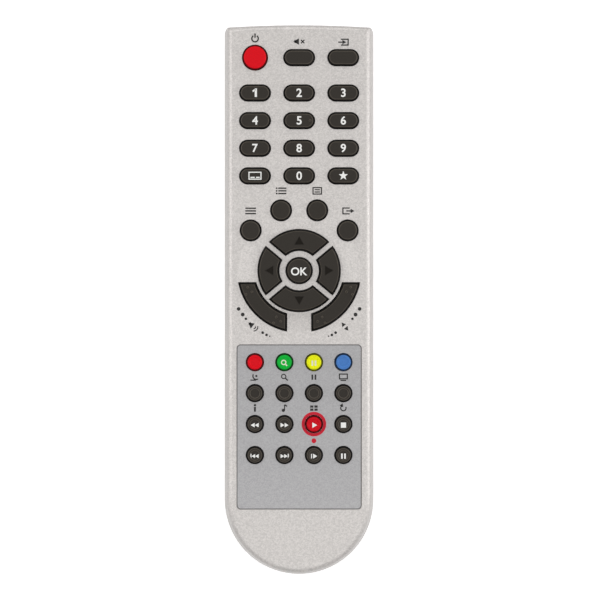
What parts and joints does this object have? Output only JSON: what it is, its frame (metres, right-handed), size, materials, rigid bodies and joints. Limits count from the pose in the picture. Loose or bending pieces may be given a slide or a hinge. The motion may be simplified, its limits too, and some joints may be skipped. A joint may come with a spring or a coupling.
{
  "type": "infrared remote control",
  "caption": "Slim hand-held infrared remote control with a rounded end, number keys, a direction pad with two rockers, and a lower key panel.",
  "frame": {"origin": "on the surface it lies on, under the middle of the body", "axes": "+X to the right of the key face, +Y towards the infrared end, +Z out of the key face"},
  "size_m": [0.053, 0.195, 0.0225],
  "materials": {
    "silver_shell": "moulded plastic painted fine metallic silver",
    "inlay_grey": "satin grey metallic printed plate",
    "ir_filter": "dark red infrared filter",
    "dark_rubber": "dark warm grey silicone rubber",
    "red_rubber": "red silicone rubber",
    "green_rubber": "green silicone rubber",
    "yellow_rubber": "yellow silicone rubber",
    "blue_rubber": "blue silicone rubber",
    "board_laminate": "green laminate",
    "led_epoxy": "clear bluish epoxy",
    "chip_black": "black epoxy",
    "ceramic_blue": "blue coated ceramic",
    "capacitor_sleeve": "shrink sleeve",
    "cell_sleeve": "plain cell sleeve",
    "nickel": "nickel plated steel",
    "screw_steel": "zinc plated steel"
  },
  "bodies": {
    "case": {"battery_cell_left": "cell_sleeve", "battery_cell_right": "cell_sleeve", "bottom_housing": "silver_shell", "case_screw": "screw_steel", "ceramic_resonator": "ceramic_blue", "circuit_board": "board_laminate", "contact_plates": "nickel", "control_chip": "chip_black", "driver_transistor": "chip_black", "infrared_led": "led_epoxy", "inlay_plate": "inlay_grey", "ir_window": "ir_filter", "keypad_sheet": "dark_rubber", "negative_springs": "nickel", "resistors": "chip_black", "smoothing_capacitor": "capacitor_sleeve", "top_housing": "silver_shell"},
    "audio_key": {"audio_key": "dark_rubber"},
    "blue_key": {"blue_key": "blue_rubber"},
    "channel_rocker": {"channel_rocker": "dark_rubber"},
    "digit_0_key": {"digit_0_key": "dark_rubber"},
    "digit_1_key": {"digit_1_key": "dark_rubber"},
    "digit_2_key": {"digit_2_key": "dark_rubber"},
    "digit_3_key": {"digit_3_key": "dark_rubber"},
    "digit_4_key": {"digit_4_key": "dark_rubber"},
    "digit_5_key": {"digit_5_key": "dark_rubber"},
    "digit_6_key": {"digit_6_key": "dark_rubber"},
    "digit_7_key": {"digit_7_key": "dark_rubber"},
    "digit_8_key": {"digit_8_key": "dark_rubber"},
    "digit_9_key": {"digit_9_key": "dark_rubber"},
    "down_key": {"down_key": "dark_rubber"},
    "exit_key": {"exit_key": "dark_rubber"},
    "favourites_key": {"favourites_key": "dark_rubber"},
    "forward_key": {"forward_key": "dark_rubber"},
    "green_key": {"green_key": "green_rubber"},
    "guide_key": {"guide_key": "dark_rubber"},
    "info_key": {"info_key": "dark_rubber"},
    "left_key": {"left_key": "dark_rubber"},
    "menu_key": {"menu_key": "dark_rubber"},
    "mosaic_key": {"mosaic_key": "dark_rubber"},
    "mute_key": {"mute_key": "dark_rubber"},
    "next_key": {"next_key": "dark_rubber"},
    "ok_key": {"ok_key": "dark_rubber"},
    "pause_key": {"pause_key": "dark_rubber"},
    "play_key": {"play_key": "red_rubber"},
    "power_key": {"power_key": "red_rubber"},
    "previous_key": {"previous_key": "dark_rubber"},
    "recall_key": {"recall_key": "dark_rubber"},
    "red_key": {"red_key": "red_rubber"},
    "rewind_key": {"rewind_key": "dark_rubber"},
    "right_key": {"right_key": "dark_rubber"},
    "slow_key": {"slow_key": "dark_rubber"},
    "source_key": {"source_key": "dark_rubber"},
    "stop_key": {"stop_key": "dark_rubber"},
    "subtitle_key": {"subtitle_key": "dark_rubber"},
    "text_key": {"text_key": "dark_rubber"},
    "up_key": {"up_key": "dark_rubber"},
    "volume_rocker": {"volume_rocker": "dark_rubber"},
    "yellow_key": {"yellow_key": "yellow_rubber"},
    "battery_cover": {"battery_cover": "silver_shell"}
  },
  "joints": [
    {"name": "audio_key_press", "type": "slide", "parent": "case", "child": "audio_key", "axis": [0, 0, -1], "range_m": [0, 0.0009], "stiffness_N_per_m": 1000},
    {"name": "blue_key_press", "type": "slide", "parent": "case", "child": "blue_key", "axis": [0, 0, -1], "range_m": [0, 0.0009], "stiffness_N_per_m": 1000},
    {"name": "channel_rocker_tilt", "type": "hinge", "parent": "case", "child": "channel_rocker", "pos_m": [0.01333, -0.00278, 0.0183], "axis": [0.7071, -0.7071, 0], "range_deg": [-4.5, 4.5], "stiffness_Nm_per_rad": 0.1},
    {"name": "digit_0_key_press", "type": "slide", "parent": "case", "child": "digit_0_key", "axis": [0, 0, -1], "range_m": [0, 0.0009], "stiffness_N_per_m": 1000},
    {"name": "digit_1_key_press", "type": "slide", "parent": "case", "child": "digit_1_key", "axis": [0, 0, -1], "range_m": [0, 0.0009], "stiffness_N_per_m": 1000},
    {"name": "digit_2_key_press", "type": "slide", "parent": "case", "child": "digit_2_key", "axis": [0, 0, -1], "range_m": [0, 0.0009], "stiffness_N_per_m": 1000},
    {"name": "digit_3_key_press", "type": "slide", "parent": "case", "child": "digit_3_key", "axis": [0, 0, -1], "range_m": [0, 0.0009], "stiffness_N_per_m": 1000},
    {"name": "digit_4_key_press", "type": "slide", "parent": "case", "child": "digit_4_key", "axis": [0, 0, -1], "range_m": [0, 0.0009], "stiffness_N_per_m": 1000},
    {"name": "digit_5_key_press", "type": "slide", "parent": "case", "child": "digit_5_key", "axis": [0, 0, -1], "range_m": [0, 0.0009], "stiffness_N_per_m": 1000},
    {"name": "digit_6_key_press", "type": "slide", "parent": "case", "child": "digit_6_key", "axis": [0, 0, -1], "range_m": [0, 0.0009], "stiffness_N_per_m": 1000},
    {"name": "digit_7_key_press", "type": "slide", "parent": "case", "child": "digit_7_key", "axis": [0, 0, -1], "range_m": [0, 0.0009], "stiffness_N_per_m": 1000},
    {"name": "digit_8_key_press", "type": "slide", "parent": "case", "child": "digit_8_key", "axis": [0, 0, -1], "range_m": [0, 0.0009], "stiffness_N_per_m": 1000},
    {"name": "digit_9_key_press", "type": "slide", "parent": "case", "child": "digit_9_key", "axis": [0, 0, -1], "range_m": [0, 0.0009], "stiffness_N_per_m": 1000},
    {"name": "down_key_press", "type": "slide", "parent": "case", "child": "down_key", "axis": [0, 0, -1], "range_m": [0, 0.0009], "stiffness_N_per_m": 1000},
    {"name": "exit_key_press", "type": "slide", "parent": "case", "child": "exit_key", "axis": [0, 0, -1], "range_m": [0, 0.0009], "stiffness_N_per_m": 1000},
    {"name": "favourites_key_press", "type": "slide", "parent": "case", "child": "favourites_key", "axis": [0, 0, -1], "range_m": [0, 0.0009], "stiffness_N_per_m": 1000},
    {"name": "forward_key_press", "type": "slide", "parent": "case", "child": "forward_key", "axis": [0, 0, -1], "range_m": [0, 0.0009], "stiffness_N_per_m": 1000},
    {"name": "green_key_press", "type": "slide", "parent": "case", "child": "green_key", "axis": [0, 0, -1], "range_m": [0, 0.0009], "stiffness_N_per_m": 1000},
    {"name": "guide_key_press", "type": "slide", "parent": "case", "child": "guide_key", "axis": [0, 0, -1], "range_m": [0, 0.0009], "stiffness_N_per_m": 1000},
    {"name": "info_key_press", "type": "slide", "parent": "case", "child": "info_key", "axis": [0, 0, -1], "range_m": [0, 0.0009], "stiffness_N_per_m": 1000},
    {"name": "left_key_press", "type": "slide", "parent": "case", "child": "left_key", "axis": [0, 0, -1], "range_m": [0, 0.0009], "stiffness_N_per_m": 1000},
    {"name": "menu_key_press", "type": "slide", "parent": "case", "child": "menu_key", "axis": [0, 0, -1], "range_m": [0, 0.0009], "stiffness_N_per_m": 1000},
    {"name": "mosaic_key_press", "type": "slide", "parent": "case", "child": "mosaic_key", "axis": [0, 0, -1], "range_m": [0, 0.0009], "stiffness_N_per_m": 1000},
    {"name": "mute_key_press", "type": "slide", "parent": "case", "child": "mute_key", "axis": [0, 0, -1], "range_m": [0, 0.0009], "stiffness_N_per_m": 1000},
    {"name": "next_key_press", "type": "slide", "parent": "case", "child": "next_key", "axis": [0, 0, -1], "range_m": [0, 0.0009], "stiffness_N_per_m": 1000},
    {"name": "ok_key_press", "type": "slide", "parent": "case", "child": "ok_key", "axis": [0, 0, -1], "range_m": [0, 0.0009], "stiffness_N_per_m": 1000},
    {"name": "pause_key_press", "type": "slide", "parent": "case", "child": "pause_key", "axis": [0, 0, -1], "range_m": [0, 0.0009], "stiffness_N_per_m": 1000},
    {"name": "play_key_press", "type": "slide", "parent": "case", "child": "play_key", "axis": [0, 0, -1], "range_m": [0, 0.0009], "stiffness_N_per_m": 1000},
    {"name": "power_key_press", "type": "slide", "parent": "case", "child": "power_key", "axis": [0, 0, -1], "range_m": [0, 0.0009], "stiffness_N_per_m": 1000},
    {"name": "previous_key_press", "type": "slide", "parent": "case", "child": "previous_key", "axis": [0, 0, -1], "range_m": [0, 0.0009], "stiffness_N_per_m": 1000},
    {"name": "recall_key_press", "type": "slide", "parent": "case", "child": "recall_key", "axis": [0, 0, -1], "range_m": [0, 0.0009], "stiffness_N_per_m": 1000},
    {"name": "red_key_press", "type": "slide", "parent": "case", "child": "red_key", "axis": [0, 0, -1], "range_m": [0, 0.0009], "stiffness_N_per_m": 1000},
    {"name": "rewind_key_press", "type": "slide", "parent": "case", "child": "rewind_key", "axis": [0, 0, -1], "range_m": [0, 0.0009], "stiffness_N_per_m": 1000},
    {"name": "right_key_press", "type": "slide", "parent": "case", "child": "right_key", "axis": [0, 0, -1], "range_m": [0, 0.0009], "stiffness_N_per_m": 1000},
    {"name": "slow_key_press", "type": "slide", "parent": "case", "child": "slow_key", "axis": [0, 0, -1], "range_m": [0, 0.0009], "stiffness_N_per_m": 1000},
    {"name": "source_key_press", "type": "slide", "parent": "case", "child": "source_key", "axis": [0, 0, -1], "range_m": [0, 0.0009], "stiffness_N_per_m": 1000},
    {"name": "stop_key_press", "type": "slide", "parent": "case", "child": "stop_key", "axis": [0, 0, -1], "range_m": [0, 0.0009], "stiffness_N_per_m": 1000},
    {"name": "subtitle_key_press", "type": "slide", "parent": "case", "child": "subtitle_key", "axis": [0, 0, -1], "range_m": [0, 0.0009], "stiffness_N_per_m": 1000},
    {"name": "text_key_press", "type": "slide", "parent": "case", "child": "text_key", "axis": [0, 0, -1], "range_m": [0, 0.0009], "stiffness_N_per_m": 1000},
    {"name": "up_key_press", "type": "slide", "parent": "case", "child": "up_key", "axis": [0, 0, -1], "range_m": [0, 0.0009], "stiffness_N_per_m": 1000},
    {"name": "volume_rocker_tilt", "type": "hinge", "parent": "case", "child": "volume_rocker", "pos_m": [-0.01333, -0.00278, 0.0183], "axis": [-0.7071, -0.7071, 0], "range_deg": [-4.5, 4.5], "stiffness_Nm_per_rad": 0.1},
    {"name": "yellow_key_press", "type": "slide", "parent": "case", "child": "yellow_key", "axis": [0, 0, -1], "range_m": [0, 0.0009], "stiffness_N_per_m": 1000},
    {"name": "battery_cover_slide", "type": "slide", "parent": "case", "child": "battery_cover", "axis": [0, -1, 0], "range_m": [0, 0.065]}
  ]
}
